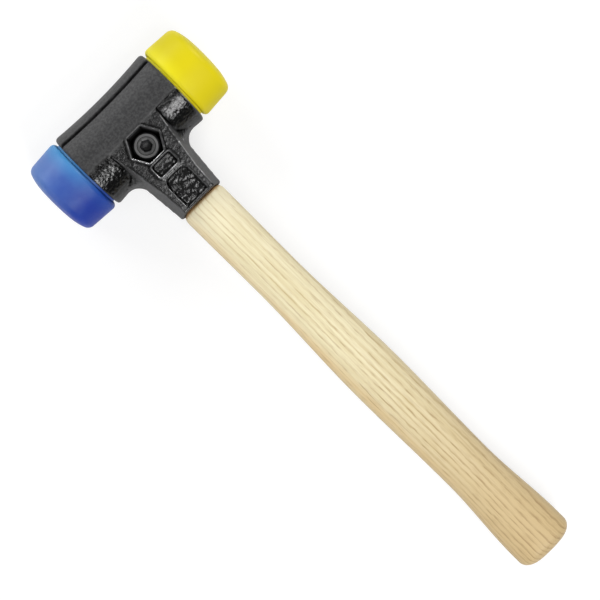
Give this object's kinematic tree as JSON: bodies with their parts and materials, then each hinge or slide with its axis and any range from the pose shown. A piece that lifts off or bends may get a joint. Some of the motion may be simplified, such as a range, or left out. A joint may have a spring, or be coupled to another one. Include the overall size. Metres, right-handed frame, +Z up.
{
  "type": "soft face hammer",
  "caption": "Soft face hammer: a cast clamp housing in halves holds a soft and a hard replaceable face and a wooden handle, tightened by a socket screw.",
  "frame": {"origin": "under the middle of the whole hammer, which lies on its side, at its lowest point", "axes": "+X along the head from the soft face to the hard face, -Y along the handle away from the head, +Z up out of the half that holds the screw's head"},
  "size_m": [0.0968, 0.2952, 0.0412],
  "materials": {
    "housing": "black stoved paint over a malleable iron casting, rough on the pad and neck, smooth on the barrel",
    "soft_face": "soft blue elastomer, satin",
    "hard_face": "hard yellow plastic, semi-gloss",
    "handle": "pale ash or hickory, straight grain, thin clear lacquer",
    "screw": "black oxide",
    "nut": "zinc plated",
    "locking_ring": "natural polyamide"
  },
  "bodies": {
    "housing_front": {"front_housing_half": "housing"},
    "housing_rear": {"rear_housing_half": "housing", "clamp_nut": "nut", "nut_locking_ring": "locking_ring"},
    "face_soft": {"soft_face": "soft_face"},
    "face_hard": {"hard_face": "hard_face"},
    "shaft": {"handle": "handle"},
    "screw": {"clamp_screw": "screw"}
  },
  "joints": [
    {"name": "clamp_screw_turn", "type": "hinge", "parent": "housing_front", "child": "screw", "pos_m": [0, 0.11425, 0.0286], "axis": [0, 0, 1], "range_deg": [0, 2160]},
    {"name": "rear_half_open", "type": "slide", "parent": "housing_front", "child": "housing_rear", "axis": [0, 0, -1], "range_m": [0, 0.0075]},
    {"name": "soft_face_pull", "type": "slide", "parent": "housing_front", "child": "face_soft", "axis": [-1, 0, 0], "range_m": [0, 0.02]},
    {"name": "hard_face_pull", "type": "slide", "parent": "housing_front", "child": "face_hard", "axis": [1, 0, 0], "range_m": [0, 0.02]},
    {"name": "handle_pull", "type": "slide", "parent": "housing_front", "child": "shaft", "axis": [0, -1, 0], "range_m": [0, 0.03]}
  ],
  "couplings": [
    {"joint": "clamp_screw_turn", "follows": "rear_half_open", "rad_per_m": 5026.5}
  ]
}
